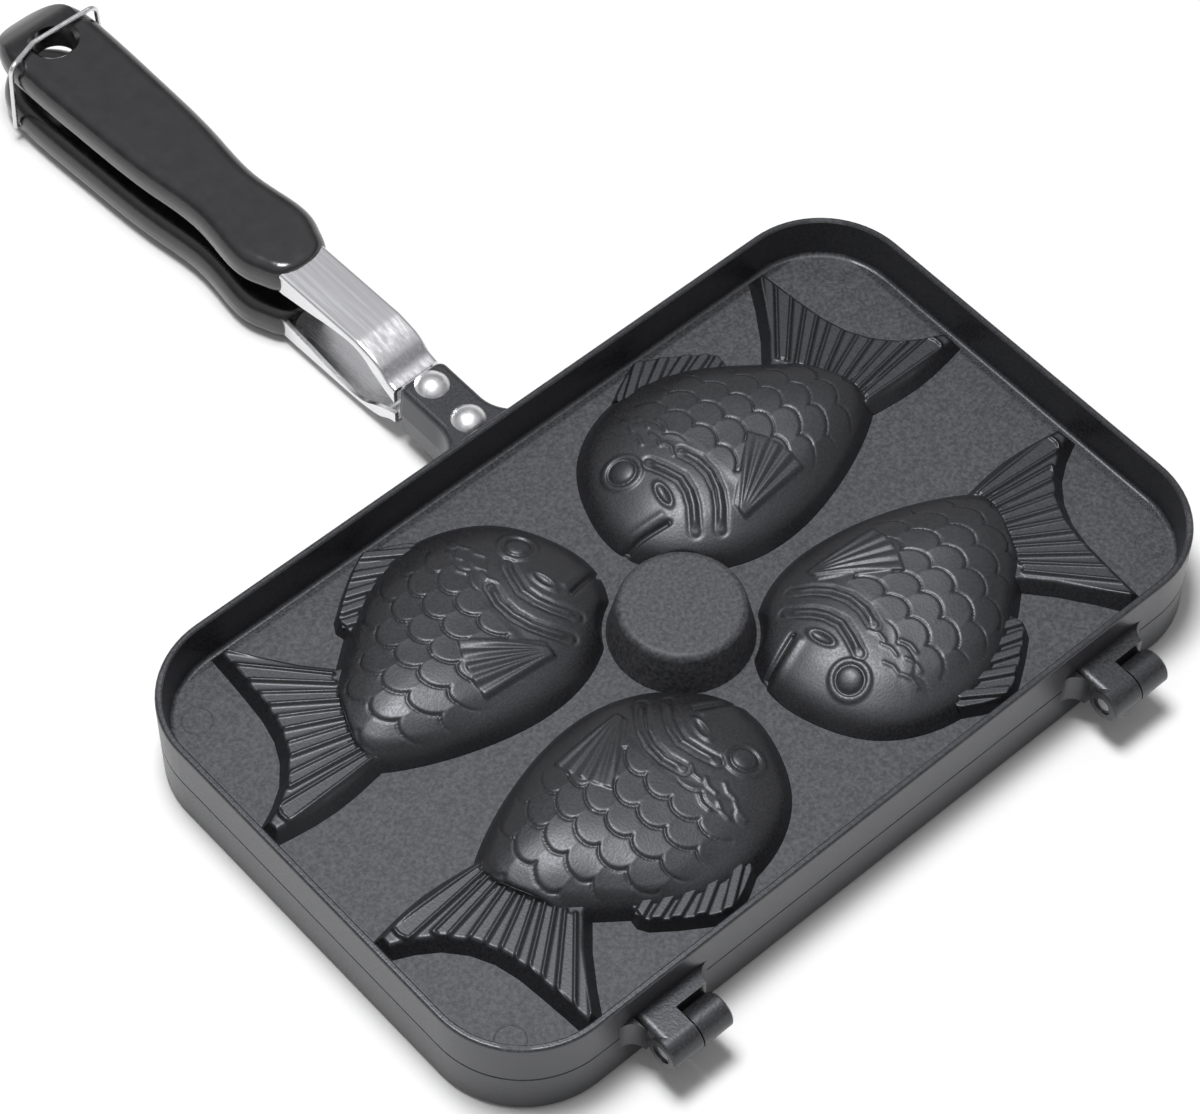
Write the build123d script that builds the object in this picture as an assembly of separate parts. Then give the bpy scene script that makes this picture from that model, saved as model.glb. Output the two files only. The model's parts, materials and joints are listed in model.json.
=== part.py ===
from build123d import *
import math
import os

# Taiyaki maker: a hinged double pan for four small fish-shaped cakes.
# Two identical cast halves face each other; the upper one turns over the lower one about
# two pin hinges on a long side, and the handles stand on the opposite long side.
# Frame: origin at the pan's centre on the plane it stands on, +X along the hinge line,
# +Y towards the handles, +Z up. Millimetres.

# --- pan halves ---------------------------------------------------------------
pan_length = 249.2          # along X
pan_width = 155.0           # along Y
pan_corner_r = 27.3
pan_height = 29.0           # both halves closed
parting_chamfer = 0.35      # outer edge of each cooking face
lip_width = 1.9             # top of the rim wall
wall_root = 3.0             # rim wall where it meets the floor
rim_depth = 12.7            # from the rim's edge down to the floor
floor_fillet = 1.2
rim_outer_round = 0.8
rim_inner_round = 0.4       # at 45 degrees
mid_z = pan_height / 2      # parting plane and hinge line
half_height = pan_height / 2
floor_level = half_height - rim_depth      # above the parting plane

# --- central boss -------------------------------------------------------------
boss_root_r = 19.6
boss_top_r = 16.9
boss_edge_r = 2.2
boss_wall = 2.6

# --- fish ---------------------------------------------------------------------
fish_height = 11.75         # crown of the body above the floor
fish_wall = 2.0
tail_wall = 2.2
chin_root_r = 20.7          # the head is cut back round the boss
chin_top_r = 24.6
tail_height = 3.6
tail_draft = 32
ray_height = 0.7
fin_height = 3.3
fin_draft = 20
bar_height = 0.55
bar_width = 2.5
relief = 0.5                # eye, gill covers and pectoral fin stand this far off the body
eye_ring_r = 5.2
eye_moat_r = 4.2
eye_ball_r = 2.9
gill_width = 1.0
ray_width = 1.3
mouth_width = 2.4
mouth_depth = 1.4

# --- hinges -------------------------------------------------------------------
hinge_reach = 9.9           # pin line outboard of the wall
hinge_centre = 76.0         # each hinge from the middle, along X
hinge_hole_r = 2.05
pin_r = 2.0
pin_knurl_r = 2.03          # the half held fast in the lower lug
lug_width = 9.6
lug_gap = 0.4               # between the two lugs of a hinge
lug_round = 2.6
knuckle_r = 5.0
web_depth = 4.5             # rib behind the mating lug
web_flare_r = 4.5
pin_sink = 0.6              # pin ends lie this far inside the lug faces

# --- tangs --------------------------------------------------------------------
tang_width = 15.0
tang_end = 105.5            # Y of its end
tang_top = 9.5              # above the parting plane
tang_skin = 2.5
tang_wall = 1.9
tang_draft = 0.8
tang_flare_r = 11.0
tang_edge_r = 1.8
tang_end_r = 3.0

# --- rivets -------------------------------------------------------------------
rivet_ys = {"inner": 84.6, "outer": 99.6}
rivet_shank_r = 2.0
rivet_head_r = 4.8
rivet_head_height = 2.3
rivet_tail_r = 3.3
rivet_tail_height = 1.0
rivet_clearance = 0.05

# --- handle shanks ------------------------------------------------------------
sheet = 1.2
tongue_width = 10.2
tongue_start = 80.0
shank_width = 16.0
rise_start = 105.6
shank_start = 106.0
shank_end = 186.0
upper_crank = 7.4           # rise from the tongue to the grip
lower_crank = 5.4           # less, so that the pan stands flat
shank_corner_r = 1.2
flange_edge = [(106.0, 2.4), (108.0, 3.5), (112.0, 6.0), (115.0, 8.1), (118.0, 10.5), (121.6, 11.9),
               (125.0, 12.1), (128.5, 11.7), (133.5, 10.9), (139.0, 9.6), (146.0, 8.2), (152.0, 7.0)]
upper_skew = 1.4            # degrees; both handles lean to -X
lower_skew = 1.55
skew_y = 92.0

# --- grips --------------------------------------------------------------------
grip_thickness = 11.2
grip_edge_r = 4.8
grip_start = 151.0
grip_axis_drop = 3.7        # grip axis below the shank's outer face
grip_sections = [(151.0, 5.2, 8.0), (152.2, 7.9, 10.0), (154.2, 9.6, 10.9), (157.5, 11.0, 11.2),
                 (161.5, 12.5, 11.2), (167.0, 13.2, 11.2), (175.0, 12.4, 11.2), (186.0, 11.3, 11.2),
                 (204.0, 12.9, 11.2), (230.0, 14.3, 11.2), (258.0, 14.9, 11.2), (269.0, 13.3, 11.2),
                 (275.4, 8.6, 11.2), (278.2, 2.6, 11.2)]      # along Y, half width, thickness
hang_hole_y = 261.0
hang_hole_r = 6.2
hang_hole_chamfer = 1.4

# --- latch bail ---------------------------------------------------------------
wire_r = 0.75
bail_pivot_y = 261.2
bail_pivot_z = 5.2
bail_centre_x = -4.25
bail_half_span = 16.35      # leg from the bail's centre
bail_radius = 26.7          # pivot line to the cross bar
bail_clearance = 0.35
bail_bar_y = 262.4
bail_bend_x = -9.8          # where the bar turns towards the bent leg
bail_bend_y = 258.6
bail_bend_r = 2.6
bail_foot = 6.0             # length of each foot
bail_foot_r = 1.0
bail_hole_r = 0.83


def box_between(x0, x1, y0, y1, z0, z1):
    """Solid box from its limits."""
    size = (x1 - x0, y1 - y0, z1 - z0)
    centre = ((x0 + x1) / 2, (y0 + y1) / 2, (z0 + z1) / 2)
    return Pos(*centre) * Box(*size)


# ------------------------------------------------------------------ fish forms
# One fish lies along +X, head at the origin side, drawn from the floor up.
body_outline = [(4.2, 29.0), (6.3, 43.5), (14.5, 57.3), (28.5, 65.5), (44.0, 66.9), (58.5, 61.5),
                (76.0, 48.6), (88.4, 37.0), (91.5, 25.5), (79.5, 14.1), (62.0, 6.8), (45.0, 3.2),
                (28.0, 4.8), (15.3, 11.6), (7.0, 21.0)]
spine = ((38.0, 33.0), (56.0, 31.0))
dome_levels = [(1.0, 0.0), (0.92, 3.5), (0.76, 6.9), (0.52, 9.75), (0.14, 11.75)]
tail_outline = [(86.5, 17.7), (95.0, 16.7), (101.5, 16.4), (108.0, 16.8), (114.0, 17.6), (119.7, 18.6),
                (119.9, 24.8), (113.6, 27.8), (108.0, 31.6), (103.4, 37.0), (100.4, 43.0),
                (98.7, 50.0), (97.9, 58.0), (97.3, 66.0), (96.9, 73.2), (91.6, 73.4), (86.4, 65.0),
                (80.2, 56.2), (74.4, 49.6), (70.0, 40.0), (76.0, 26.0)]
fin_outline = [(52.0, 54.0), (66.8, 53.0), (67.7, 58.4), (66.0, 61.2), (60.0, 65.8), (53.2, 70.3),
               (47.6, 73.0), (40.5, 70.0), (35.5, 67.2), (35.0, 62.0)]
tail_roots = [(86.8, 20.9), (87.0, 25.0), (86.2, 29.4), (84.4, 34.2), (82.2, 38.8), (79.8, 43.4), (77.2, 48.0)]
tail_tips = [((113.4, 20.2), (112.8, 25.1)), ((106.8, 28.0), (105.2, 30.8)), ((101.5, 35.2), (100.2, 38.3)),
             ((98.0, 42.8), (97.0, 46.3)), ((95.8, 51.0), (95.4, 54.8)), ((95.0, 60.4), (94.6, 65.6))]
fin_bars = [((38.5, 62.0), (47.6, 69.6)), ((44.5, 61.0), (53.4, 66.8)), ((50.0, 59.3), (58.6, 63.3)),
            ((55.0, 57.0), (62.6, 60.2)), ((59.5, 54.0), (65.4, 57.2))]
pectoral_root = (33.0, 12.8)
pectoral_tips = [(54.2, 14.6), (53.7, 18.4), (52.6, 21.9), (51.3, 25.2), (49.6, 28.2)]
gill_arcs = [[(25.4, 37.5), (27.3, 30.5), (25.8, 25.0), (22.0, 19.5)],
             [(33.6, 34.0), (34.4, 28.5), (33.4, 23.5), (27.8, 15.6)]]
mouth_line = [(1.5, 27.6), (10.0, 25.6), (16.4, 23.9)]
eye_centre = (18.2, 43.5)
scale_edge = [(86.8, 14.0), (86.6, 21.8), (86.7, 27.0), (84.8, 32.4), (81.6, 39.0), (77.6, 47.0),
              (73.0, 54.0), (73.0, 80.0), (-5.0, 80.0), (-5.0, 0.0), (86.8, 0.0)]


def spine_point(p):
    """Nearest point to p on the fish's spine line."""
    (x0, y0), (x1, y1) = spine
    dx, dy = x1 - x0, y1 - y0
    t = ((p[0] - x0) * dx + (p[1] - y0) * dy) / (dx * dx + dy * dy)
    t = max(0.0, min(1.0, t))
    return x0 + t * dx, y0 + t * dy


def body_dome(grow, base):
    """Domed body: outline sections drawn in towards the spine as they rise.

    grow moves every face outward (negative: inward); base is the lowest level."""
    sections = []
    crown = dome_levels[-1][1]
    for scale, level in [(1.0, base)] + dome_levels[1:] if base < 0 else dome_levels:
        points = []
        for p in body_outline:
            sx, sy = spine_point(p)
            reach = math.hypot(p[0] - sx, p[1] - sy)
            k = max(scale + grow / reach, 0.06)
            points.append((sx + (p[0] - sx) * k, sy + (p[1] - sy) * k))
        lift = grow * min(1.0, max(0.0, level / crown)) if level > 0 else 0.0
        face = make_face(Spline(*points, periodic=True).edges())
        sections.append(Pos(0, 0, level + lift) * face)
    return loft(sections)


def plan_face(points):
    """Face over a closed polygon whose points run counter-clockwise, so that it looks up."""
    return make_face(Polyline(*points, close=True).edges())


def prism(points, z0, z1):
    """Straight prism over a closed polygon."""
    return extrude(Pos(0, 0, z0) * plan_face(points), amount=z1 - z0)


def drafted(points, height, draft):
    """Prism with leaning sides over a closed polygon."""
    return extrude(plan_face(points), amount=height, taper=draft)


def corners_only(shape, test):
    """Edges of a shape whose centre passes a test."""
    return [e for e in shape.edges() if test(e.center())]


def stroke(points, width, z0, z1):
    """Upright strip of even width along a line."""
    shape = None
    for a, b in zip(points, points[1:]):
        length = math.hypot(b[0] - a[0], b[1] - a[1])
        angle = math.degrees(math.atan2(b[1] - a[1], b[0] - a[0]))
        place = Pos((a[0] + b[0]) / 2, (a[1] + b[1]) / 2, (z0 + z1) / 2) * Rot(0, 0, angle)
        piece = place * Box(length + 0.6 * width, width, z1 - z0)
        shape = piece if shape is None else shape + piece
    return shape


def fish_relief():
    """Eye, gill covers and pectoral fin, standing off the body by an even height."""
    top = fish_height + 4
    eye = Pos(*eye_centre, top / 2)
    marks = eye * Cylinder(eye_ring_r, top) - eye * Cylinder(eye_moat_r, top) + eye * Cylinder(eye_ball_r, top)
    for arc in gill_arcs:
        marks = marks + stroke(arc, gill_width, 0, top)
    for tip in pectoral_tips:
        near = [pectoral_root[k] + 0.25 * (tip[k] - pectoral_root[k]) for k in (0, 1)]
        marks = marks + stroke([near, tip], ray_width, 0, top)
    return body_dome(relief, 0.5) & marks


def tail_rays():
    """Raised rays on the tail, each a wedge that widens to its end."""
    rays = []
    for k, (low, high) in enumerate(tail_tips):
        wedge = [tail_roots[k], low, high, tail_roots[k + 1]]
        shrink = [(0.88 * x + 0.12 * sum(p[0] for p in wedge) / 4, 0.88 * y + 0.12 * sum(p[1] for p in wedge) / 4)
                  for x, y in wedge]
        rays.append(Pos(0, 0, tail_height - 0.6) * drafted(shrink, 0.6 + ray_height, 20))
    return rays


def fish_outer():
    """One fish as it stands on the floor, drawn along +X, floor at 0."""
    body = body_dome(0.0, -1.0) + fish_relief()
    body = body & prism(scale_edge, -2.0, fish_height + 4.0)
    rise = (chin_top_r - chin_root_r) / fish_height
    chin = Cone(chin_root_r - 2 * rise, chin_top_r + 2 * rise, fish_height + 4,
                align=(Align.CENTER, Align.CENTER, Align.MIN))
    slot = stroke(mouth_line, mouth_width, 0.8, fish_height + 4) - body_dome(-mouth_depth, 0.0)
    body = body - Pos(0, 0, -2) * chin - slot
    tail = Pos(0, 0, -0.4) * drafted(tail_outline, tail_height + 0.4, tail_draft)
    fin = Pos(0, 0, -0.4) * drafted(fin_outline, fin_height + 0.4, fin_draft)
    bars = [stroke(bar, bar_width, fin_height - 0.6, fin_height + bar_height) for bar in fin_bars]
    return [body, tail, fin] + tail_rays() + bars


def fish_inner():
    """The fish's hollow, cut up from the cooking face."""
    depth = floor_level + 1.0
    body = body_dome(-fish_wall, -depth)
    body = body & (Pos(-1.7, -0.7, 0) * prism(scale_edge, -depth, fish_height + 4.0))
    rise = (chin_top_r - chin_root_r) / fish_height
    root = chin_root_r + fish_wall - depth * rise
    chin = Cone(root, root + 18 * rise, 18, align=(Align.CENTER, Align.CENTER, Align.MIN))
    body = body - Pos(0, 0, -depth) * chin
    tail = Pos(0, 0, -0.4 - tail_wall) * drafted(tail_outline, tail_height + 0.4, tail_draft)
    fin_face = offset(plan_face(fin_outline), -1.2)
    fin = extrude(fin_face, amount=depth + fin_height - 1.6, taper=fin_draft)
    return [body, tail, Pos(0, 0, -depth) * fin]


def four_ways(shape):
    """The shape and its three reflections in the pan's middle planes."""
    across = mirror(shape, about=Plane.YZ)
    return [shape, across, mirror(shape, about=Plane.XZ), mirror(across, about=Plane.XZ)]


def rounded_plan(inset):
    """Pan outline, drawn in by inset."""
    return RectangleRounded(pan_length - 2 * inset, pan_width - 2 * inset, pan_corner_r - inset)


def tray():
    """Rim wall and floor of one half, cooking face on Z=0."""
    block = extrude(rounded_plan(0), amount=half_height)
    block = fillet(block.edges().group_by(Axis.Z)[-1], rim_outer_round)
    block = chamfer(block.edges().group_by(Axis.Z)[0], parting_chamfer)
    low = Pos(0, 0, floor_level) * rounded_plan(wall_root)
    high = Pos(0, 0, half_height) * rounded_plan(lip_width)
    recess = loft([low, high])
    recess = fillet(recess.edges().group_by(Axis.Z)[0], floor_fillet)
    flare = extrude(Pos(0, 0, half_height - rim_inner_round) * rounded_plan(lip_width + 0.03),
                    amount=rim_inner_round + 0.01, taper=-45)
    return block - recess - flare


def boss():
    """Round boss between the four heads, flush with the rim."""
    height = half_height - floor_level
    shape = Cone(boss_root_r, boss_top_r, height, align=(Align.CENTER, Align.CENTER, Align.MIN))
    shape = fillet(shape.edges().group_by(Axis.Z)[-1], boss_edge_r)
    return Pos(0, 0, floor_level) * shape


def boss_hollow():
    """Cup under the boss."""
    return Cone(boss_root_r - boss_wall, boss_top_r - boss_wall, half_height - boss_wall,
                align=(Align.CENTER, Align.CENTER, Align.MIN))


def lug(centre):
    """Hinge lug on one side of a hinge centre, and the rib behind its mate."""
    wall = -pan_width / 2
    pin_y = wall - hinge_reach
    left = centre - lug_gap / 2 - lug_width
    right = centre - lug_gap / 2
    arm = box_between(left, right, pin_y, wall + 1.0, 0, knuckle_r)
    arm = fillet(corners_only(arm, lambda c: abs(c.X - left) < 0.01 and c.Z > knuckle_r - 0.01), lug_round)
    barrel = Pos((left + right) / 2, pin_y, 0) * Rot(0, 90, 0) * Cylinder(knuckle_r, lug_width)
    barrel = chamfer(corners_only(barrel, lambda c: abs(c.X - left) < 0.01), 0.5)
    far = centre + lug_gap / 2 + lug_width
    web = box_between(right - 0.5, far, wall - web_depth, wall + 1.0, 0, knuckle_r)
    shape = arm + barrel + web
    for x, y, side in ((left, wall, -1), (far, wall, 1)):
        flare = box_between(min(x, x + side * web_flare_r), max(x, x + side * web_flare_r),
                            y - web_flare_r, y + 1.0, 0, knuckle_r)
        scoop = Pos(x + side * web_flare_r, y - web_flare_r, 0) * Cylinder(web_flare_r, 3 * knuckle_r)
        shape = shape + (flare - scoop)
    return shape


def hinge_hole(centre):
    """Bore for the pin through a lug, with its mouth on the outer face."""
    pin_y = -pan_width / 2 - hinge_reach
    left = centre - lug_gap / 2 - lug_width
    bore = Pos(centre, pin_y, 0) * Rot(0, 90, 0) * Cylinder(hinge_hole_r, 2 * lug_width + 4)
    mouth = Pos(left, pin_y, 0) * Rot(0, 90, 0) * Cylinder(hinge_hole_r + 0.7, 0.8)
    return bore + mouth


def tang():
    """Tongue-shaped boss on the wall that takes the handle shank."""
    wall = pan_width / 2
    half = tang_width / 2 + tang_draft
    r = tang_flare_r
    plan = box_between(-half, half, wall - 8.0, tang_end, 0, 1)
    plan = fillet(corners_only(plan, lambda c: c.Y > tang_end - 0.01 and abs(c.X) > half - 0.01), tang_end_r)
    plan = plan + box_between(-half - r, half + r, wall - 8.0, wall + r, 0, 1)
    for side in (-1, 1):
        plan = plan - Pos(side * (half + r), wall + r, 0) * Cylinder(r, 4)
    foot = plan.faces().sort_by(Axis.Z)[0]
    shape = extrude(Plane.XY * foot, amount=tang_top, dir=(0, 0, 1), taper=math.degrees(math.atan(tang_draft / tang_top)))
    shape = fillet(shape.edges().group_by(Axis.Z)[-1], tang_edge_r)
    return shape & box_between(-40, 40, wall - 1.0, tang_end + 1, -1, tang_top + 1)


def tang_hollow():
    """Open channel under the tang, with the rivet holes."""
    half = tang_width / 2 - tang_wall
    shape = box_between(-half, half, tongue_start - 0.6, tang_end + 1.0, -0.1, tang_top - tang_skin)
    for y in rivet_ys.values():
        shape = shape + Pos(0, y, tang_top) * Cylinder(rivet_shank_r + rivet_clearance, 3 * tang_skin)
    return shape


def casting():
    """One cast half, cooking face on Z=0 and rim upward."""
    reliefs = []
    for piece in fish_outer():
        reliefs += four_ways(Pos(0, 0, floor_level) * piece)
    hollows = [boss_hollow()]
    for piece in fish_inner():
        hollows += four_ways(Pos(0, 0, floor_level) * piece)
    shape = tray().fuse(boss(), tang(), lug(-hinge_centre), lug(hinge_centre), *reliefs)
    shape = shape.cut(tang_hollow(), hinge_hole(-hinge_centre), hinge_hole(hinge_centre), *hollows)
    return shape


def skewed(shape, angle):
    """A handle piece turned in plan about the tang."""
    return Pos(0, skew_y, 0) * Rot(0, 0, angle) * Pos(0, -skew_y, 0) * shape


def shank_top(crank):
    """Side view of the shank's outer face, from the tongue to the grip."""
    start = tang_top - tang_skin
    shape = [(rise_start, 0.0), (108.2, 0.15), (111.4, 0.53), (115.2, 0.81), (120.0, 0.965), (126.0, 1.0)]
    return [(y, start + k * crank) for y, k in shape]


def shank(crank):
    """Cranked channel with a flat tongue, above the parting plane."""
    tongue_z = tang_top - tang_skin
    outer_z = tongue_z + crank
    tongue = box_between(-tongue_width / 2, tongue_width / 2, tongue_start, rise_start, tongue_z - sheet, tongue_z)
    rise = Spline(*shank_top(crank), tangents=((1, 0), (1, 0)))
    low = Spline(*[(y, z - sheet) for y, z in shank_top(crank)], tangents=((1, 0), (1, 0)))
    y0, z0 = shank_top(crank)[0]
    y1, z1 = shank_top(crank)[-1]
    neck_face = make_face([*rise.edges(), *low.edges(), Line((y0, z0), (y0, z0 - sheet)).edge(),
                           Line((y1, z1), (y1, z1 - sheet)).edge()])
    neck = extrude_across(neck_face, tongue_width) & box_between(-9, 9, y0 - 1, shank_start + 0.8, 0, outer_z + 1)
    slack = upper_crank - crank
    flange_low = [(y, z - slack * min(1.0, (y - shank_start) / 14.0)) for y, z in flange_edge]
    top_from = [p for p in shank_top(crank) if p[0] >= 107]
    start_z = top_from[0][1] - 0.75
    ye, ze = top_from[-1]
    (ys, zs), (yf, zf) = flange_low[0], flange_low[-1]
    edge_top = Spline((shank_start, start_z), *top_from, tangents=((1, 0.5), (1, 0)))
    side = make_face([*edge_top.edges(), *Spline(*flange_low).edges(), Line((ys, zs), (shank_start, start_z)).edge(),
                      Line((ye, ze), (shank_end, ze)).edge(), Line((shank_end, ze), (shank_end, zf)).edge(),
                      Line((shank_end, zf), (yf, zf)).edge()])
    outside = extrude_across(side, shank_width)
    top_edges = corners_only(outside, lambda c: abs(abs(c.X) - shank_width / 2) < 0.01
                             and c.Z > flange_mid(c.Y, outer_z))
    top_edges = [e for e in top_edges if e.length > 15]
    outside = fillet(top_edges, shank_corner_r)
    under = Spline((shank_start, start_z - sheet), *[(y, z - sheet) for y, z in top_from],
                   tangents=((1, 0.5), (1, 0)))
    before, after = shank_start - 1.0, shank_end + 1.0
    rest = Polyline((ye, ze - sheet), (after, ze - sheet), (after, -9.0), (before, -9.0),
                    (before, start_z - sheet), (shank_start, start_z - sheet))
    hollow = extrude_across(make_face([*under.edges(), *rest.edges()]), shank_width - 2 * sheet)
    return tongue + neck + (outside - hollow)


def flange_mid(y, outer_z):
    """Level that parts a flange's upper edge from its lower one."""
    return outer_z - 2.0 if y > 112 else outer_z - 6.0


def extrude_across(face_yz, width):
    """A side-view face (drawn in XY as Y,Z) extruded across the handle."""
    solid = extrude(face_yz, amount=width / 2, both=True)
    return Rot(0, 0, 90) * Rot(90, 0, 0) * solid


def grip(crank, shank_shape):
    """Grip moulded round the end of its shank, outer face upward, with the hanging hole.

    Its tip is domed so that the bail can swing off over it."""
    axis_z = grip_axis(crank)
    sections = []
    for y, half, thickness in grip_sections:
        r = min(grip_edge_r, 0.97 * half, 0.485 * thickness)
        plane = Plane(origin=(0, y, axis_z), x_dir=(1, 0, 0), z_dir=(0, 1, 0))
        sections.append(plane * RectangleRounded(2 * half, thickness, r))
    drop = grip_axis(upper_crank) - (bail_pivot_z - mid_z)
    dome_r = bail_radius - wire_r - bail_clearance
    beyond = box_between(-40, 40, bail_pivot_y, bail_pivot_y + 40, axis_z - 10, axis_z + 10)
    dome = Pos(0, bail_pivot_y, axis_z - drop) * Rot(0, 90, 0) * Cylinder(dome_r, 100)
    shape = loft(sections) - (beyond - dome)
    hole = Pos(0, hang_hole_y, axis_z) * Cylinder(hang_hole_r, 2 * grip_thickness)
    mouth = Cone(hang_hole_r, hang_hole_r + 2 * hang_hole_chamfer, 2 * hang_hole_chamfer,
                 align=(Align.CENTER, Align.CENTER, Align.MIN))
    level = grip_thickness / 2 - hang_hole_chamfer
    shape = shape - hole - Pos(0, hang_hole_y, axis_z + level) * mouth
    shape = shape - Pos(0, hang_hole_y, axis_z - level) * Rot(180, 0, 0) * mouth
    return shape - shank_shape


def grip_axis(crank):
    """Level of the grip's axis above the parting plane."""
    return tang_top - tang_skin + crank - grip_axis_drop


def rivet(y):
    """Domed rivet through tang and tongue."""
    head_z = tang_top
    bottom = tang_top - tang_skin - sheet
    cap = (rivet_head_r ** 2 + rivet_head_height ** 2) / (2 * rivet_head_height)
    ball = Pos(0, y, head_z + rivet_head_height - cap) * Sphere(cap)
    head = ball & box_between(-9, 9, y - 9, y + 9, head_z, head_z + 9)
    shank_part = Pos(0, y, (head_z + bottom) / 2) * Cylinder(rivet_shank_r, head_z - bottom)
    tail_part = Pos(0, y, bottom - rivet_tail_height / 2) * Cylinder(rivet_tail_r, rivet_tail_height)
    return head + shank_part + tail_part


def hinge_pin(centre):
    """Hinge pin; its half in the lower lug is knurled and held fast."""
    pin_y = -pan_width / 2 - hinge_reach
    end = lug_gap / 2 + lug_width - pin_sink
    plain = Pos(centre - end / 2, pin_y, mid_z) * Rot(0, 90, 0) * Cylinder(pin_r, end)
    knurled = Pos(centre + end / 2, pin_y, mid_z) * Rot(0, 90, 0) * Cylinder(pin_knurl_r, end)
    return plain + knurled


def bail():
    """Wire bail: two feet, two legs and a cross bar with a bend near one leg."""
    near = bail_centre_x - bail_half_span
    far = bail_centre_x + bail_half_span
    top = bail_pivot_z + bail_radius
    path = FilletPolyline((near + bail_foot, bail_pivot_y, bail_pivot_z), (near, bail_pivot_y, bail_pivot_z),
                          (near, bail_bend_y, top), (bail_bend_x, bail_bar_y, top), (far, bail_bar_y, top),
                          (far, bail_pivot_y, bail_pivot_z), (far - bail_foot, bail_pivot_y, bail_pivot_z),
                          radius=(bail_foot_r, bail_bend_r, bail_bend_r, bail_bend_r, bail_foot_r))
    section = Plane(origin=path @ 0, z_dir=path % 0) * Circle(wire_r)
    return sweep(section, path=path)


def bail_holes():
    """Holes for the bail's feet in the lower grip."""
    shape = None
    for side in (-1, 1):
        end = bail_centre_x + side * (bail_half_span - bail_foot - 0.5)
        far = bail_centre_x + side * (bail_half_span + 4)
        hole = Pos((end + far) / 2, bail_pivot_y, bail_pivot_z) * Rot(0, 90, 0)
        hole = hole * Cylinder(bail_hole_r, abs(far - end))
        shape = hole if shape is None else shape + hole
    return shape


def upper(shape):
    """Places a piece drawn above the parting plane in the upper half."""
    return Pos(0, 0, mid_z) * shape


def lower(shape):
    """Turns the same piece over for the lower half."""
    return Pos(0, 0, mid_z) * Rot(0, 180, 0) * shape


def rivet_holes():
    """Clearance holes for both rivets in the tongue."""
    shape = None
    for y in rivet_ys.values():
        hole = Pos(0, y, tang_top) * Cylinder(rivet_shank_r + rivet_clearance, 12)
        shape = hole if shape is None else shape + hole
    return shape


def build():
    """All pieces by name."""
    half = casting()
    pieces = {"upper_plate": upper(half), "lower_plate": lower(half)}
    for name, crank, skew, place in (("upper", upper_crank, upper_skew, upper),
                                     ("lower", lower_crank, -lower_skew, lower)):
        raw = shank(crank)
        handle = skewed(grip(crank, raw), skew)
        strip = skewed(raw, skew) - rivet_holes()
        pieces[name + "_strip"] = place(strip)
        pieces[name + "_grip"] = place(handle)
        for spot, y in rivet_ys.items():
            pieces[name + "_rivet_" + spot] = place(rivet(y))
    pieces["lower_grip"] = pieces["lower_grip"] - bail_holes()
    pieces["hinge_pin_left"] = hinge_pin(-hinge_centre)
    pieces["hinge_pin_right"] = hinge_pin(hinge_centre)
    pieces["latch_wire"] = bail()
    return pieces


os.makedirs("parts", exist_ok=True)
for name, shape in build().items():
    solids = shape.solids()
    box = shape.bounding_box()
    print(name, len(solids), shape.is_valid, round(shape.volume), [round(v, 2) for v in (*box.min, *box.max)])
    export_step(Compound(children=solids) if len(solids) > 1 else solids[0], "parts/" + name + ".step")
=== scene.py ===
"""Looks of the taiyaki maker: fish skins, coats, metals, grips, studio and camera.

Lengths in the fish's own plan are millimetres, with x and y measured from the pan's centre and heights
from the tray's floor. Objects are placed in metres.
"""
import json
import math

import bmesh
import bpy
import numpy as np
from mathutils import Matrix, Vector


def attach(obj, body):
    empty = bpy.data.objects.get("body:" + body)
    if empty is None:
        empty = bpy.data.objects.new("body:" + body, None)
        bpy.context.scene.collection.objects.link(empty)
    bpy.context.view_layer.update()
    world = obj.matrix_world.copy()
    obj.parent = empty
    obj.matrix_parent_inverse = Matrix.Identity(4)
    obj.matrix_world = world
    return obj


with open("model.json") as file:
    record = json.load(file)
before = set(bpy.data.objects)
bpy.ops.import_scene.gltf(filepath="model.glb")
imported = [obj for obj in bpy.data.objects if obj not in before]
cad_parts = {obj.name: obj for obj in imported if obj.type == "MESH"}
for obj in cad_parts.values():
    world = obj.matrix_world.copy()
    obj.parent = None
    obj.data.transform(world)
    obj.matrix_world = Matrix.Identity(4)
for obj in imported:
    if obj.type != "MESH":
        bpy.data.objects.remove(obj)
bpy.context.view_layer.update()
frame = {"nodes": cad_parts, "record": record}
MM = 0.001
MID_Z = 14.5
FLOOR = 1.8          # floor of the tray above the parting plane

# die marks on the tray's floor
MARK = (111.0, 61.0)
MARK_R = 4.0
MARK_WIRE = 0.22

# ------------------------------------------------------------------ fish outlines
BODY = np.array([(4.2, 29.0), (6.3, 43.5), (14.5, 57.3), (28.5, 65.5), (44.0, 66.9), (58.5, 61.5),
                 (76.0, 48.6), (88.4, 37.0), (91.5, 25.5), (79.5, 14.1), (62.0, 6.8), (45.0, 3.2),
                 (28.0, 4.8), (15.3, 11.6), (7.0, 21.0)])
SPINE = np.array([(38.0, 33.0), (56.0, 31.0)])
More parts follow.
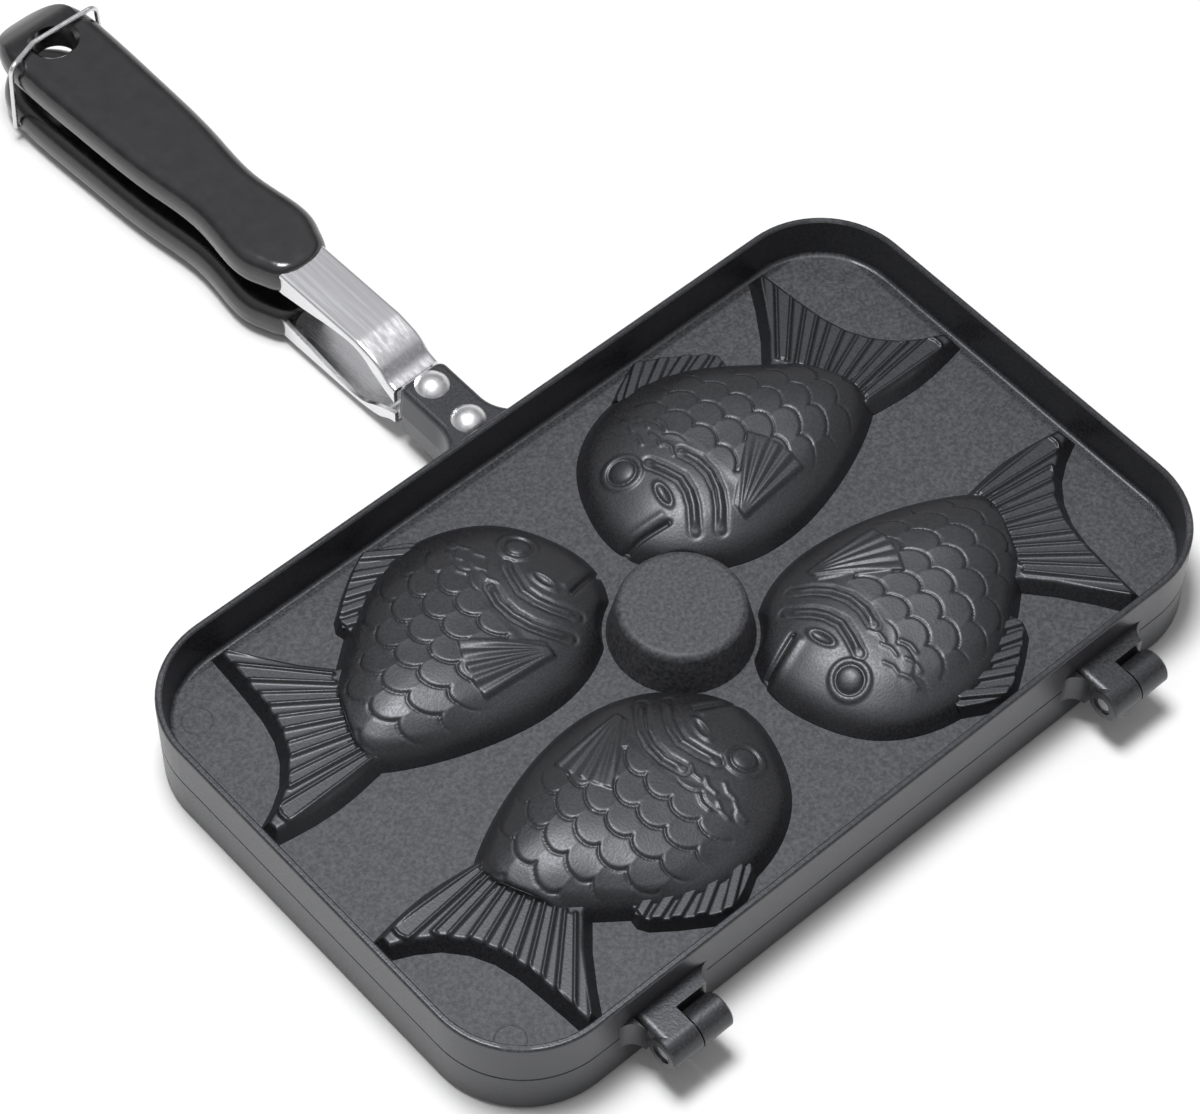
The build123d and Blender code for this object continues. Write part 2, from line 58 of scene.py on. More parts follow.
# share of the outline and height above the floor, from the foot up
LEVELS = [(1.0, 0.0), (0.96, 2.0), (0.92, 3.65), (0.85, 5.5), (0.76, 7.1), (0.65, 8.7), (0.52, 10.05),
          (0.36, 11.15), (0.18, 11.8)]
CROWN = 11.95
CREST = 12.65        # nothing on the body stands higher: the rim is at 12.7
GROWTH = 0.15        # skin outside the solid's foot
CHIN_R = 20.55       # the head is cut back round the boss by a cone of this radius at the floor
CHIN_RISE = 0.325    # growth of its radius per mm of height
BACK_LEVEL = 3.4     # height where the body ends at the tail
BACK_STEEP = 3.6
BACK_REACH = 0.55
UNDER = -0.4         # the skin's edge is sunk this far into the floor
EYE = (18.2, 43.5)
EYE_BALL_R = 3.4
NOSTRIL = (20.8, 30.2)
SCALE_PITCH = 7.3    # from one column of scales to the next
SCALE_RISE = 9.0     # from one scale to the next in its column
SCALE_BULGE = 2.9
TAIL = np.array([(86.5, 17.7), (95.0, 16.7), (101.5, 16.4), (108.0, 16.8), (114.0, 17.6), (119.7, 18.6),
                 (119.9, 24.8), (113.6, 27.8), (108.0, 31.6), (103.4, 37.0), (100.4, 43.0),
                 (98.7, 50.0), (97.9, 58.0), (97.3, 66.0), (96.9, 73.2), (91.6, 73.4), (86.4, 65.0),
                 (80.2, 56.2), (74.4, 49.6), (70.0, 40.0), (76.0, 26.0)])
# behind this line the body gives way to the tail
EDGE = np.array([(86.8, -5.0), (86.8, 14.0), (86.6, 21.8), (86.7, 27.0), (84.8, 32.4), (81.6, 39.0),
                 (77.6, 47.0), (73.0, 54.0), (73.0, 80.0), (-5.0, 80.0), (-5.0, -5.0)])


# ------------------------------------------------------------------ helpers
def smoothstep(a, b, x):
    t = np.clip((x - a) / (b - a), 0.0, 1.0)
    return t * t * (3 - 2 * t)


def smin(a, b, k):
    h = np.maximum(k - np.abs(a - b), 0.0)
    return np.minimum(a, b) - h * h / (4 * k)


def seg_dist(x, y, a, b):
    """Distance to a segment and the share of the way along it."""
    dx, dy = b[0] - a[0], b[1] - a[1]
    t = np.clip(((x - a[0]) * dx + (y - a[1]) * dy) / (dx * dx + dy * dy), 0.0, 1.0)
    return np.hypot(x - a[0] - t * dx, y - a[1] - t * dy), t


def line_dist(x, y, pts):
    d = np.full(x.shape, 1e9)
    for a, b in zip(pts[:-1], pts[1:]):
        d = np.minimum(d, seg_dist(x, y, a, b)[0])
    return d


def inside_dist(x, y, poly):
    """Distance to a closed outline, positive inside."""
    d = line_dist(x, y, list(poly) + [poly[0]])
    inside = np.zeros(x.shape, bool)
    for (x0, y0), (x1, y1) in zip(poly, np.roll(poly, -1, axis=0)):
        cross = (y0 > y) != (y1 > y)
        at = x0 + (y - y0) * (x1 - x0) / (y1 - y0 if y1 != y0 else 1e-9)
        inside ^= cross & (x < at)
    return np.where(inside, d, -d)


def bump_line(x, y, pts, width, height):
    return height * np.exp(-(line_dist(x, y, pts) / width) ** 2)


def closed_spline(points, count):
    """Smooth closed curve through the points, evenly stepped in its own parameter."""
    p = np.asarray(points)
    n = len(p)
    h = np.linalg.norm(np.roll(p, -1, axis=0) - p, axis=1)
    a = np.zeros((n, n))
    r = np.zeros((n, 2))
    for i in range(n):
        hp, hn = h[i - 1], h[i]
        a[i, i - 1] += hp
        a[i, i] += 2 * (hp + hn)
        a[i, (i + 1) % n] += hn
        r[i] = 6 * ((p[(i + 1) % n] - p[i]) / hn - (p[i] - p[i - 1]) / hp)
    m = np.linalg.solve(a, r)
    knots = np.concatenate([[0], np.cumsum(h)])
    t = np.arange(count) / count * knots[-1]
    k = np.clip(np.searchsorted(knots, t, side="right") - 1, 0, n - 1)
    u, hk = t - knots[k], h[k]
    q = (k + 1) % n
    hk, u = hk[:, None], u[:, None]
    return (m[k] * (hk - u) ** 3 / (6 * hk) + m[q] * u ** 3 / (6 * hk)
            + (p[k] / hk - m[k] * hk / 6) * (hk - u) + (p[q] / hk - m[q] * hk / 6) * u)


def resample(values, at, to):
    """Natural cubic through values given at at, read at to (along axis 0)."""
    n = len(at)
    h = np.diff(at)
    a = np.eye(n)
    r = np.zeros((n,) + values.shape[1:])
    for i in range(1, n - 1):
        a[i, i - 1:i + 2] = h[i - 1], 2 * (h[i - 1] + h[i]), h[i]
        r[i] = 6 * ((values[i + 1] - values[i]) / h[i] - (values[i] - values[i - 1]) / h[i - 1])
    m = np.linalg.solve(a, r.reshape(n, -1)).reshape(r.shape)
    k = np.clip(np.searchsorted(at, to, side="right") - 1, 0, n - 2)
    shape = (-1,) + (1,) * (values.ndim - 1)
    hk = h[k].reshape(shape)
    u = (to - at[k]).reshape(shape)
    return (m[k] * (hk - u) ** 3 / (6 * hk) + m[k + 1] * u ** 3 / (6 * hk)
            + (values[k] / hk - m[k] * hk / 6) * (hk - u) + (values[k + 1] / hk - m[k + 1] * hk / 6) * u)


# ------------------------------------------------------------------ fish relief
GILLS = [[(24.6, 40.2), (26.2, 35.5), (27.4, 30.5), (26.4, 26.2), (24.6, 22.6), (20.6, 17.4)],
         [(33.0, 36.8), (34.4, 31.5), (34.2, 26.5), (32.4, 21.5), (29.8, 17.6), (26.2, 13.6)]]
FIN_ROOT = (31.5, 12.2)
FIN_TIPS = [(50.2, 28.6), (52.0, 25.0), (53.2, 21.4), (54.2, 17.8), (54.6, 14.0)]


def body_detail(x, y, s):
    """Raised and cut detail on the body, in mm above its plain dome."""
    # overlapping scales in bowed columns
    xw = x + 0.0105 * (y - 36.0) ** 2
    near = np.full(x.shape, 1e9)
    ahead = np.full(x.shape, 1e9)
    for k in range(-2, 10):
        f = (y - 33.0 - 0.12 * (x - 50.0)) / SCALE_RISE + 0.5 * (k % 2)
        f = f - np.round(f)
        front = 33.5 + SCALE_PITCH * k + SCALE_BULGE * (1 - np.abs(2 * f) ** 2.1) ** 0.65
        gap = front - xw
        near = np.minimum(near, np.abs(gap) * (0.55 + 0.45 * (1 - np.abs(2 * f) ** 3)))
        ahead = np.where((gap >= 0) & (gap < ahead), gap, ahead)
    scale = 0.50 * np.clip(1 - ahead / 8.5, 0, 1) ** 1.3 - 0.34 * np.exp(-(near / 0.46) ** 2)
    behind = smoothstep(-1.5, 1.5, x - (37.0 - 0.55 * np.maximum(y - 37.0, 0)))
    area = smoothstep(0.90, 0.78, s) * smoothstep(10.5, 17.0, y) * behind * smoothstep(60.5, 55.0, y)
    area = area * (0.45 + 0.55 * smoothstep(32.0, 44.0, x))
    fan = np.array([(33.0, 11.6), (55.0, 13.2), (54.9, 18.2), (53.8, 22.3), (52.3, 25.8), (50.2, 29.4),
                    (33.0, 16.0)])
    on_fan = inside_dist(x, y, fan)
    fan_part = smoothstep(-0.5, 0.3, on_fan)
    out = scale * area * (1 - fan_part) + 0.10 * area
    # pectoral fin: five rays from one root
    rays = np.zeros(x.shape)
    for tip in FIN_TIPS:
        d, t = seg_dist(x, y, FIN_ROOT, tip)
        rays = np.maximum(rays, np.exp(-(d / (0.45 + 0.75 * t)) ** 2))
    out = out + fan_part * (0.35 + 0.60 * rays)
    # gill covers
    for line in GILLS:
        d = line_dist(x, y, line)
        ends = smoothstep(0.0, 2.4, np.hypot(x - line[0][0], y - line[0][1])) \
            * smoothstep(0.0, 2.4, np.hypot(x - line[-1][0], y - line[-1][1]))
        out = out + ends * (0.55 * np.exp(-(d / 0.75) ** 2) - 0.40 * np.exp(-((d - 1.5) / 0.55) ** 2))
    # short strokes behind the eye
    for cx, cy in ((28.0, 48.5), (31.0, 44.5), (33.0, 51.5), (29.5, 54.0), (35.5, 47.0), (31.5, 39.5)):
        out = out + bump_line(x, y, [(cx - 0.6, cy - 2.4), (cx + 0.5, cy), (cx + 0.2, cy + 2.4)], 0.5, 0.35)
    # nostril
    tilt = (x - NOSTRIL[0]) - 0.18 * (y - NOSTRIL[1])
    lens = np.hypot(tilt / 1.6, (y - NOSTRIL[1]) / 3.8)
    out = out + 0.55 * np.exp(-((lens - 0.95) / 0.24) ** 2) - 0.45 * np.exp(-(lens / 0.55) ** 2)
    # eye
    r = np.hypot(x - EYE[0], (y - EYE[1]) / 1.02)
    out = out + 0.45 * smoothstep(3.7, 4.3, r) * smoothstep(5.9, 5.1, r)
    out = out - 0.25 * np.exp(-((r - 3.7) / 0.35) ** 2)
    out = out + 1.05 * np.sqrt(np.clip(1 - (r / EYE_BALL_R) ** 2, 0, 1))
    # mouth
    d = line_dist(x, y, [(2.5, 27.4), (10.0, 25.6), (16.8, 23.7)])
    lip = line_dist(x, y, [(3.5, 29.6), (10.0, 28.0), (16.5, 26.3)])
    out = out - 1.15 * np.exp(-(d / 0.62) ** 2) + 0.45 * np.exp(-(lip / 1.2) ** 2)
    return out


def ray_lines():
    start = [(86.6, 20.6), (86.9, 22.9), (87.0, 25.0), (86.8, 27.4), (86.0, 30.0), (85.0, 32.6), (84.0, 35.0),
             (82.8, 37.4), (81.4, 39.8), (80.2, 42.2), (79.0, 44.6), (77.8, 47.0), (76.6, 49.4)]
    end = [(113.8, 20.0), (113.2, 25.3), (107.2, 27.8), (105.4, 31.0), (101.8, 35.0), (100.2, 38.6),
           (98.2, 42.6), (97.0, 46.6), (96.0, 50.8), (95.6, 55.0), (95.2, 60.2), (94.8, 66.0), (93.6, 71.0)]
    return start, end


def tail_detail(x, y):
    start, end = ray_lines()
    out = np.zeros(x.shape)
    for i, (a, b) in enumerate(zip(start, end)):
        d = seg_dist(x, y, a, b)[0]
        out = np.maximum(out, 0.95 * np.exp(-(d / 0.62) ** 2))
    for i in range(0, 12, 2):
        mid = ((end[i][0] + end[i + 1][0]) / 2 + 0.5, (end[i][1] + end[i + 1][1]) / 2 + 0.1)
        out = np.maximum(out, 0.95 * np.exp(-(line_dist(x, y, [end[i], mid, end[i + 1]]) / 0.62) ** 2))
        wedge = np.array([start[i], end[i], end[i + 1], start[i + 1]])
        out = np.maximum(out, 0.38 * smoothstep(-0.2, 0.5, inside_dist(x, y, wedge)))
    return out


def fin_detail(x, y):
    out = np.zeros(x.shape)
    bars = (((38.5, 63.5), (48.6, 70.6)), ((45.0, 62.0), (54.6, 67.4)), ((50.5, 60.3), (59.6, 63.8)),
            ((55.5, 58.0), (63.3, 60.6)), ((60.0, 55.0), (66.0, 57.4)))
    for a, b in bars:
        d = seg_dist(x, y, a, b)[0]
        out = np.maximum(out, 0.9 * smoothstep(1.75, 0.9, d))
    return out


def grid_mesh(name, x, y, z, closed):
    """Mesh over a grid of points; closed joins the last column to the first."""
    rows, cols = x.shape
    verts = np.stack([x, y, z], axis=-1).reshape(-1, 3) * MM
    i = np.arange(rows - 1)[:, None]
    j = np.arange(cols if closed else cols - 1)[None, :]
    k = (j + 1) % cols
    corners = [i * cols + j, i * cols + k, (i + 1) * cols + k, (i + 1) * cols + j]
    faces = np.stack(corners, axis=-1).reshape(-1, 4)
    mesh = bpy.data.meshes.new(name)
    mesh.vertices.add(len(verts))
    mesh.vertices.foreach_set("co", verts.ravel())
    mesh.loops.add(faces.size)
    mesh.loops.foreach_set("vertex_index", faces.ravel().astype(np.int32))
    mesh.polygons.add(len(faces))
    mesh.polygons.foreach_set("loop_start", (np.arange(len(faces)) * 4).astype(np.int32))
    mesh.polygons.foreach_set("use_smooth", np.ones(len(faces), bool))
    mesh.update()
    mesh.validate()
    return mesh


def spine_foot(p):
    """Nearest points on the spine line."""
    d = SPINE[1] - SPINE[0]
    t = np.clip(((p - SPINE[0]) @ d) / (d @ d), 0, 1)
    return SPINE[0] + t[..., None] * d


def spokes(side, cap):
    """Feet and directions of the body's spokes, anticlockwise; both sides of the spine share their feet."""
    d = (SPINE[1] - SPINE[0]) / np.linalg.norm(SPINE[1] - SPINE[0])
    turn = math.atan2(d[1], d[0])
    t = np.arange(side) / side
    fan = np.pi * np.arange(cap) / cap
    share = np.concatenate([t, np.ones(cap), 1 - t, np.zeros(cap)])
    angle = np.concatenate([np.full(side, -np.pi / 2), fan - np.pi / 2,
                            np.full(side, np.pi / 2), fan + np.pi / 2])
    feet = SPINE[0] + share[:, None] * (SPINE[1] - SPINE[0])
    return feet, np.stack([np.cos(angle + turn), np.sin(angle + turn)], axis=-1), share, angle


def spoke_place(share, angle):
    """One number that grows anticlockwise round the spine."""
    lower = np.where(angle < 0.5 * np.pi, share, 1.0 + (1.0 - share))
    return lower + (angle + np.pi / 2) / np.pi * 2.0


def body_mesh(side, cap, rings):
    feet, out_dir, share, angle = spokes(side, cap)
    place = spoke_place(share, angle)
    d = SPINE[1] - SPINE[0]
    turn = math.atan2(d[1], d[0])
    radii = []
    for s, h in LEVELS:
        pts = []
        for p in BODY:
            c = spine_foot(p)
            reach = np.linalg.norm(p - c)
            pts.append(c + (p - c) * (s + GROWTH / reach))
        curve = closed_spline(pts, 4000)
        foot = spine_foot(curve)
        reach = np.linalg.norm(curve - foot, axis=1)
        t = ((foot - SPINE[0]) @ d) / (d @ d)
        ang = np.arctan2(*(curve - foot).T[::-1]) - turn
        ang = np.mod(ang + np.pi / 2 + 1e-9, 2 * np.pi) - np.pi / 2
        key = spoke_place(t, ang)
        order = np.argsort(key)
        radii.append(np.interp(place, key[order], reach[order], period=6.0))
    radii = np.array(radii + [np.zeros(len(place))])
    s_of = np.array([s for s, h in LEVELS] + [0.0])
    h_of = np.array([h for s, h in LEVELS] + [CROWN])
    at = np.concatenate([[0], np.cumsum(np.hypot(np.diff(s_of) * 28.0, np.diff(h_of)))])
    to = np.linspace(0, at[-1], rings)
    radius = np.maximum(resample(radii, at, to), 0.0)
    h = np.repeat(resample(h_of[:, None], at, to), len(place), axis=1)
    s = np.repeat(resample(s_of[:, None], at, to), len(place), axis=1)
    x = feet[:, 0] + radius * out_dir[:, 0]
    y = feet[:, 1] + radius * out_dir[:, 1]
    out = h + 0.10 * smoothstep(1.0, 0.9, s) + body_detail(x, y, s)
    out = smin(out, (np.hypot(x, y) - CHIN_R) / CHIN_RISE, 1.2)
    out = smin(out, BACK_LEVEL + BACK_STEEP * (inside_dist(x, y, EDGE) + BACK_REACH), 1.0)
    out = smin(out, CREST, 0.4)
    out = np.maximum(np.where(h < 0.3, np.minimum(out, h), out), UNDER)
    x = np.vstack([x[:1], x])
    y = np.vstack([y[:1], y])
    out = np.vstack([np.full((1, len(place)), -0.5), out])
    mesh = grid_mesh("fish_body", x, y, out, True)
    weld = bmesh.new()
    weld.from_mesh(mesh)
    crown = [v for v in weld.verts if v.index >= rings * len(place)]
    bmesh.ops.remove_doubles(weld, verts=crown, dist=1e-6)
    weld.to_mesh(mesh)
    weld.free()
    return mesh


def along(points, count):
    p = np.asarray(points, float)
    step = np.concatenate([[0], np.cumsum(np.linalg.norm(np.diff(p, axis=0), axis=1))])
    t = np.linspace(0, step[-1], count)
    return np.stack([np.interp(t, step, p[:, 0]), np.interp(t, step, p[:, 1])], axis=-1)


def patch(low, high, left, right, nu, nv):
    """Grid between four edges: low and high run left to right, left and right run low to high."""
    lo, hi = along(low, nu), along(high, nu)
    le, ri = along(left, nv), along(right, nv)
    u = np.linspace(0, 1, nu)[None, :, None]
    v = np.linspace(0, 1, nv)[:, None, None]
    ruled = (1 - v) * lo[None] + v * hi[None] + (1 - u) * le[:, None] + u * ri[:, None]
    corner = ((1 - u) * (1 - v) * lo[0] + u * (1 - v) * lo[-1] + (1 - u) * v * hi[0] + u * v * hi[-1])
    return ruled - corner


def tail_mesh(across, along_rays):
    low = [(76.0, 24.0), (86.5, 17.7)] + [tuple(p) for p in TAIL[1:6]]
    high = [(70.0, 42.0), (74.4, 49.6), (80.2, 56.2), (86.4, 65.0), (91.6, 73.4)]
    right = [tuple(p) for p in TAIL[5:15]] + [(91.6, 73.4)]
    g = patch(low, high, [(76.0, 24.0), (70.0, 42.0)], right, across, along_rays)
    x, y = g[..., 0], g[..., 1]
    edge = inside_dist(x, y, np.vstack([TAIL[:18], [(74.4, 49.6), (60.0, 42.0), (60.0, 17.7)]]))
    out = smin(4.05 + tail_detail(x, y), 1.62 * edge + 0.05, 1.0)
    return grid_mesh("fish_tail", x, y, np.maximum(out, -0.3), False)


def fin_mesh(along_fin, up):
    low = [(36.0, 61.0), (52.0, 56.0), (64.0, 51.0)]
    high = [(35.5, 67.2), (40.5, 70.0), (47.6, 73.0), (53.2, 70.3), (60.0, 65.8), (66.0, 61.2), (67.7, 58.4)]
    left, right = [(36.0, 61.0), (35.5, 67.2)], [(64.0, 51.0), (66.8, 53.0), (67.7, 58.4)]
    g = patch(low, high, left, right, along_fin, up)
    x, y = g[..., 0], g[..., 1]
    poly = np.array(high + [(66.8, 53.0), (62.0, 45.0), (40.0, 50.0), (30.0, 60.0)])
    edge = inside_dist(x, y, poly)
    out = smin(3.75 + fin_detail(x, y), 2.8 * edge + 0.05, 0.9)
    return grid_mesh("fish_fin", x, y, np.maximum(out, -0.3), False)


# ------------------------------------------------------------------ materials
TINT = 1.08          # the coat is a shade blue


def new_material(name):
    m = bpy.data.materials.new(name)
    m.use_nodes = True
    return m, m.node_tree, m.node_tree.nodes["Principled BSDF"]


def noise(tree, scale, detail=2.0, rough=0.5, coord=None):
    n = tree.nodes.new("ShaderNodeTexNoise")
    n.inputs["Scale"].default_value = scale
    n.inputs["Detail"].default_value = detail
    n.inputs["Roughness"].default_value = rough
    if coord is not None:
        tree.links.new(coord, n.inputs["Vector"])
    return n.outputs["Fac"]


def ramp(tree, fac, stops):
    r = tree.nodes.new("ShaderNodeValToRGB")
    e = r.color_ramp.elements
    while len(e) < len(stops):
        e.new(0.5)
    for k, (pos, col) in enumerate(stops):
        e[k].position = pos
        e[k].color = (*col, 1) if len(col) == 3 else col
    tree.links.new(fac, r.inputs["Fac"])
    return r.outputs["Color"]


def bump(tree, fac, strength, distance, normal=None):
    b = tree.nodes.new("ShaderNodeBump")
    b.inputs["Strength"].default_value = strength
    b.inputs["Distance"].default_value = distance
    tree.links.new(fac, b.inputs["Height"])
    if normal is not None:
        tree.links.new(normal, b.inputs["Normal"])
    return b.outputs["Normal"]


def maths(tree, operation, *inputs):
    """A maths node; each input is a socket to link or a plain number."""
    n = tree.nodes.new("ShaderNodeMath")
    n.operation = operation
    for k, value in enumerate(inputs):
        if isinstance(value, (int, float)):
            n.inputs[k].default_value = value
        else:
            tree.links.new(value, n.inputs[k])
    return n.outputs[0]


def between(tree, value, low, high):
    """0 at low and 1 at high."""
    n = tree.nodes.new("ShaderNodeMapRange")
    tree.links.new(value, n.inputs["Value"])
    n.inputs["From Min"].default_value = low
    n.inputs["From Max"].default_value = high
    return n.outputs["Result"]


def coated(name, low, high, rough, grain, ior=1.5):
    """Sprayed non-stick coat: fine orange-peel grain over faint broad clouds."""
    m, t, p = new_material(name)
    co = t.nodes.new("ShaderNodeTexCoord").outputs["Object"]
    fine = noise(t, 1500.0, 2.0, 0.6, co)
    broad = noise(t, 60.0, 3.0, 0.55, co)
    grey = maths(t, "MULTIPLY_ADD", broad, 0.25, fine)
    col = ramp(t, grey, [(0.45, (low, low, low * TINT)), (0.80, (high, high, high * TINT))])
    t.links.new(col, p.inputs["Base Color"])
    t.links.new(ramp(t, fine, [(0.3, (rough - 0.06,) * 3), (0.7, (rough + 0.06,) * 3)]),
                p.inputs["Roughness"])
    p.inputs["IOR"].default_value = ior
    p.inputs["Specular Tint"].default_value = (0.92, 0.94, 1.0, 1)
    t.links.new(bump(t, fine, grain, 0.0002), p.inputs["Normal"])
    return m


TRAY_ROUGH = 0.60
SOFT_EDGE = 0.0004               # metres
WALL_TO_BOSS = (0.12, 0.20)      # upright share of the normal above which the tray takes its paler tone, partly painted light on faces that point up: the walls stay plain, the boss's side doesn't


def speckle_and_painted_light_tray(m, reach_x, reach_y, low, high):
    """The tray's floor keeps a coarser, paler speckle than the rest of the casting: partly its own finish,
    partly painted light, since only faces that point up get it.
    """
    t = m.node_tree
    p = t.nodes["Principled BSDF"]
    co = t.nodes.new("ShaderNodeTexCoord").outputs["Object"]
    axes = t.nodes.new("ShaderNodeSeparateXYZ")
    t.links.new(co, axes.inputs[0])
    masks = []
    for axis, reach in (("X", reach_x), ("Y", reach_y)):
        off_centre = maths(t, "ABSOLUTE", axes.outputs[axis])
        masks.append(between(t, off_centre, reach + SOFT_EDGE, reach - SOFT_EDGE))
    facing = t.nodes.new("ShaderNodeSeparateXYZ")
    t.links.new(t.nodes.new("ShaderNodeTexCoord").outputs["Normal"], facing.inputs[0])
    # painted light: faces in the tray that point up get the paler colour below, on top of the floor's own
    # coarser speckle
    lit_upward_face = between(t, maths(t, "ABSOLUTE", facing.outputs["Z"]), *WALL_TO_BOSS)
    both = maths(t, "MULTIPLY", maths(t, "MULTIPLY", masks[0], masks[1]), lit_upward_face)
    grain = noise(t, 900.0, 3.0, 0.7, co)
    pale = ramp(t, grain, [(0.36, (low, low, low * TINT)), (0.68, (high, high, high * TINT))])
    blend = t.nodes.new("ShaderNodeMix")
    blend.data_type = "RGBA"
    before = p.inputs["Base Color"].links[0].from_socket
    t.links.new(both, blend.inputs["Factor"])
    t.links.new(before, blend.inputs["A"])
    t.links.new(pale, blend.inputs["B"])
    t.links.new(blend.outputs["Result"], p.inputs["Base Color"])
    level = t.nodes.new("ShaderNodeMix")
    was = p.inputs["Roughness"].links[0].from_socket
    t.links.new(both, level.inputs["Factor"])
    t.links.new(was, level.inputs["A"])
    level.inputs["B"].default_value = TRAY_ROUGH
    t.links.new(level.outputs["Result"], p.inputs["Roughness"])
    return m


def metal(name, colour, rough, streak):
    """Steel with a fine streaked grain; streak is the noise scale along x, y and z."""
    m, t, p = new_material(name)
    co = t.nodes.new("ShaderNodeTexCoord").outputs["Object"]
    mp = t.nodes.new("ShaderNodeMapping")
    mp.inputs["Scale"].default_value = streak
    t.links.new(co, mp.inputs["Vector"])
    n = noise(t, 1.0, 4.0, 0.6, mp.outputs["Vector"])
    t.links.new(ramp(t, n, [(0.3, tuple(0.88 * c for c in colour)), (0.7, colour)]), p.inputs["Base Color"])
    t.links.new(ramp(t, n, [(0.3, (rough - 0.06,) * 3), (0.7, (rough + 0.08,) * 3)]), p.inputs["Roughness"])
    p.inputs["Metallic"].default_value = 1.0
    t.links.new(bump(t, n, 0.15, 0.0001), p.inputs["Normal"])
    return m


def grip_material():
    m, t, p = new_material("black_grip")
    co = t.nodes.new("ShaderNodeTexCoord").outputs["Object"]
    n = noise(t, 240.0, 3.0, 0.55, co)
    t.links.new(ramp(t, n, [(0.3, (0.008, 0.008, 0.009)), (0.7, (0.014, 0.014, 0.015))]),
                p.inputs["Base Color"])
    t.links.new(ramp(t, n, [(0.3, (0.16,) * 3), (0.75, (0.24,) * 3)]), p.inputs["Roughness"])
    t.links.new(bump(t, n, 0.06, 0.0003), p.inputs["Normal"])
    p.inputs["IOR"].default_value = 1.7
    return m


# the tray's paler tone (0.010 to 0.065) is partly its own speckle, partly painted light on faces that point
# up
MATS = {"coated_casting": speckle_and_painted_light_tray(coated("coated_casting", 0.010, 0.028, 0.36, 0.25, 1.65),
                                       0.1185, 0.0715, 0.010, 0.065),
        "shank_steel": metal("shank_steel", (0.80, 0.80, 0.81), 0.24, (900, 25, 900)),
        "rivet_metal": metal("rivet_metal", (0.80, 0.80, 0.81), 0.33, (600, 600, 600)),
        "pin_steel": metal("pin_steel", (0.45, 0.45, 0.46), 0.40, (500, 500, 500)),
        "wire_steel": metal("wire_steel", (0.74, 0.74, 0.75), 0.25, (400, 400, 400)),
        "black_grip": grip_material()}
FISH = coated("coated_fish", 0.004, 0.012, 0.44, 0.22, 1.72)

slots = {s["node"]: s["material_slot"] for s in frame["record"]["subparts"]}
for node, obj in frame["nodes"].items():
    obj.data.materials.clear()
    obj.data.materials.append(MATS[slots[node]])
    for poly in obj.data.polygons:
        poly.use_smooth = True
    split = obj.modifiers.new("edges", "EDGE_SPLIT")
    split.split_angle = math.radians(28)

# ------------------------------------------------------------------ fish skins
parts = [body_mesh(96, 168, 100), tail_mesh(160, 210), fin_mesh(120, 66)]
for mesh in parts:
    mesh.materials.append(FISH)
for half, flip in (("upper", 1), ("lower", -1)):
    for sx in (1, -1):
        for sy in (1, -1):
            for mesh in parts:
                corner = ("r" if sx > 0 else "l") + ("b" if sy > 0 else "f")
                ob = bpy.data.objects.new(f"{half}_{mesh.name}_{corner}", mesh)
                bpy.context.scene.collection.objects.link(ob)
                ob.matrix_world = Matrix.Translation((0, 0, (MID_Z + flip * FLOOR) * MM)) \
                    @ Matrix.Diagonal((sx, sy, flip, 1))
                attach(ob, half)

# faint round marks that the casting die leaves near the corners
for half, flip in (("upper", 1), ("lower", -1)):
    for sx in (1, -1):
        for sy in (1, -1):
            bpy.ops.mesh.primitive_torus_add(major_radius=MARK_R * MM, minor_radius=MARK_WIRE * MM,
                                             major_segments=48, minor_segments=8)
            ring = bpy.context.object
            ring.name = f"{half}_die_mark_{'r' if sx > 0 else 'l'}{'b' if sy > 0 else 'f'}"
            ring.location = Vector((sx * MARK[0], sy * MARK[1], MID_Z + flip * FLOOR)) * MM
            ring.scale = (1, 1, 0.6)
            for poly in ring.data.polygons:
                poly.use_smooth = True
            ring.data.materials.append(MATS["coated_casting"])
            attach(ring, half)

# ------------------------------------------------------------------ stage
bpy.ops.mesh.primitive_plane_add(size=6.0, location=(0, 0, -0.0005))
ground = bpy.context.object
ground.name = "ground"
gm, gt, gp = new_material("ground")
gp.inputs["Base Color"].default_value = (0.93, 0.93, 0.93, 1)
gp.inputs["Roughness"].default_value = 0.9
gp.inputs["Specular IOR Level"].default_value = 0.1
ground.data.materials.append(gm)

world = bpy.data.worlds.new("studio")
bpy.context.scene.world = world
world.use_nodes = True
wt = world.node_tree
wt.nodes.clear()
out = wt.nodes.new("ShaderNodeOutputWorld")
mixer = wt.nodes.new("ShaderNodeMixShader")
path = wt.nodes.new("ShaderNodeLightPath")
direct = maths(wt, "MAXIMUM", path.outputs["Is Camera Ray"], path.outputs["Is Glossy Ray"])
through = maths(wt, "MAXIMUM", direct, path.outputs["Is Transmission Ray"])
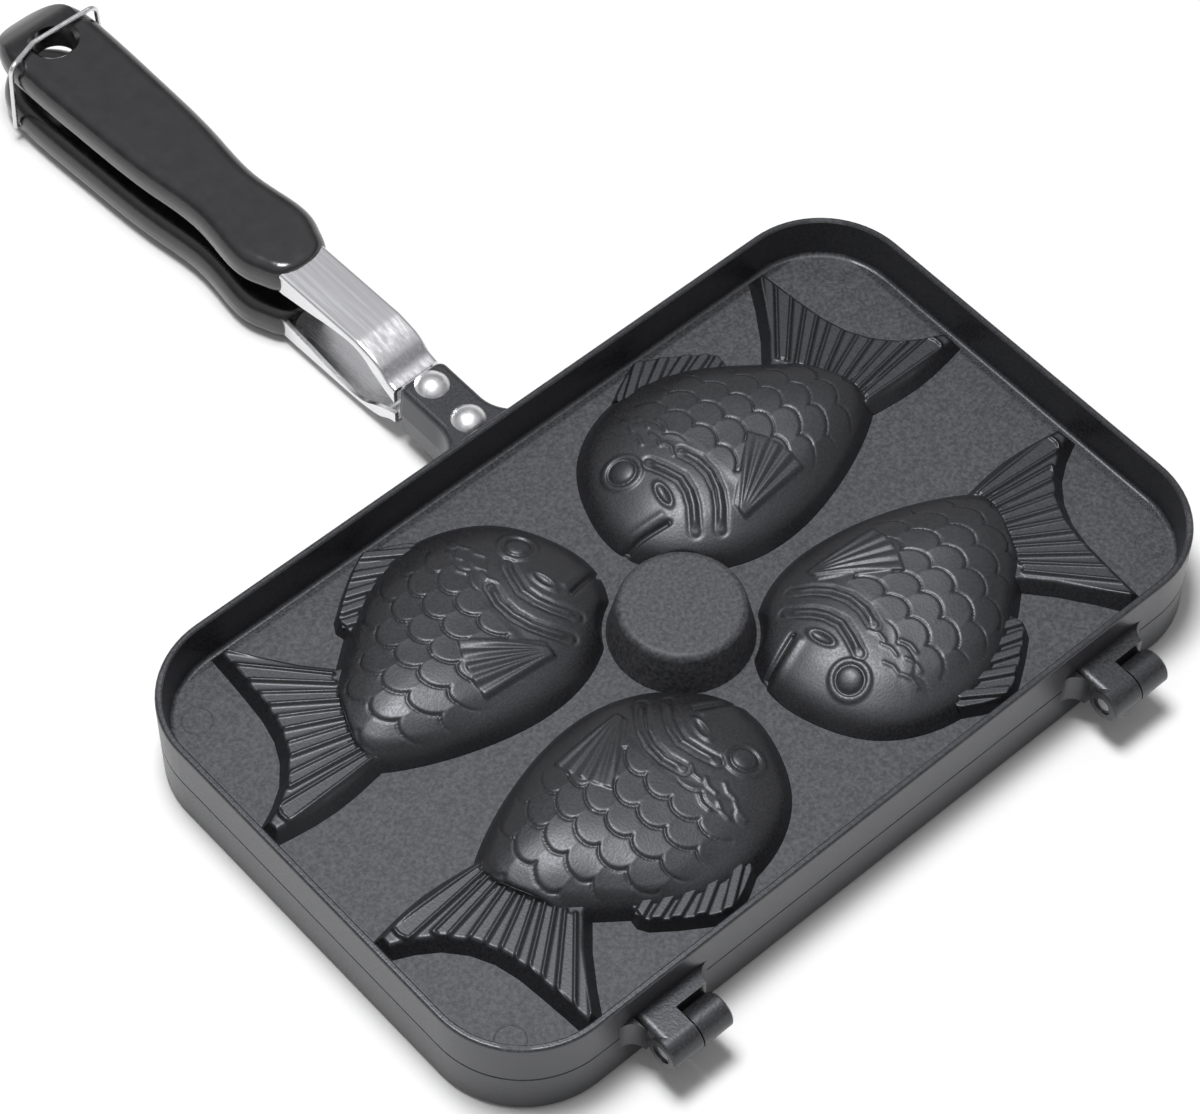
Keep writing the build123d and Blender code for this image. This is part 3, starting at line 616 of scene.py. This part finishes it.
# white wall up to eye level, dimmer room above it, bright ceiling
height = wt.nodes.new("ShaderNodeSeparateXYZ")
wt.links.new(wt.nodes.new("ShaderNodeTexCoord").outputs["Generated"], height.inputs[0])
room = ramp(wt, height.outputs["Z"], [(0.16, (1.0, 1.0, 1.0)), (0.24, (0.30, 0.30, 0.31)),
                                      (0.50, (0.24, 0.24, 0.25)), (0.76, (0.58, 0.58, 0.60))])
seen = wt.nodes.new("ShaderNodeBackground")
wt.links.new(room, seen.inputs["Color"])
seen.inputs["Strength"].default_value = 1.0
lit = wt.nodes.new("ShaderNodeBackground")
lit.inputs["Color"].default_value = (1, 1, 1, 1)
lit.inputs["Strength"].default_value = 0.30
wt.links.new(through, mixer.inputs["Fac"])
wt.links.new(lit.outputs[0], mixer.inputs[1])
wt.links.new(seen.outputs[0], mixer.inputs[2])
wt.links.new(mixer.outputs[0], out.inputs["Surface"])

key = bpy.data.lights.new("key", "AREA")
key.shape = "RECTANGLE"
key.size = key.size_y = 0.4
key.energy = 17
key_ob = bpy.data.objects.new("key", key)
bpy.context.scene.collection.objects.link(key_ob)
KEY_PLACE, KEY_AIM = Vector((-0.08, 0.16, 1.35)), Vector((0, 0.05, 0))
key_ob.location = KEY_PLACE
key_ob.rotation_euler = (KEY_AIM - KEY_PLACE).to_track_quat("-Z", "Y").to_euler()

# ------------------------------------------------------------------ camera
AZIMUTH, ELEVATION, ROLL = -41.94, 54.76, 0.5
DISTANCE, ASIDE, RAISED = 1048.42, -20.92, 28.67
a, e, r = (math.radians(v) for v in (AZIMUTH, ELEVATION, ROLL))
back = Vector((math.sin(a) * math.cos(e), -math.cos(a) * math.cos(e), math.sin(e)))
right0 = Vector((math.cos(a), math.sin(a), 0))
up0 = back.cross(right0)
right = math.cos(r) * right0 + math.sin(r) * up0
up = -math.sin(r) * right0 + math.cos(r) * up0
cam = bpy.data.cameras.new("camera")
cam.lens = 120.0
cam.sensor_width = 36.0
cam.clip_start = 0.05
cam_ob = bpy.data.objects.new("camera", cam)
bpy.context.scene.collection.objects.link(cam_ob)
pos = (DISTANCE * back + ASIDE * right + RAISED * up) * MM
cam_ob.matrix_world = Matrix(((right.x, up.x, back.x, pos.x), (right.y, up.y, back.y, pos.y),
                              (right.z, up.z, back.z, pos.z), (0, 0, 0, 1)))
bpy.context.scene.camera = cam_ob
bpy.context.scene.view_settings.view_transform = "Standard"
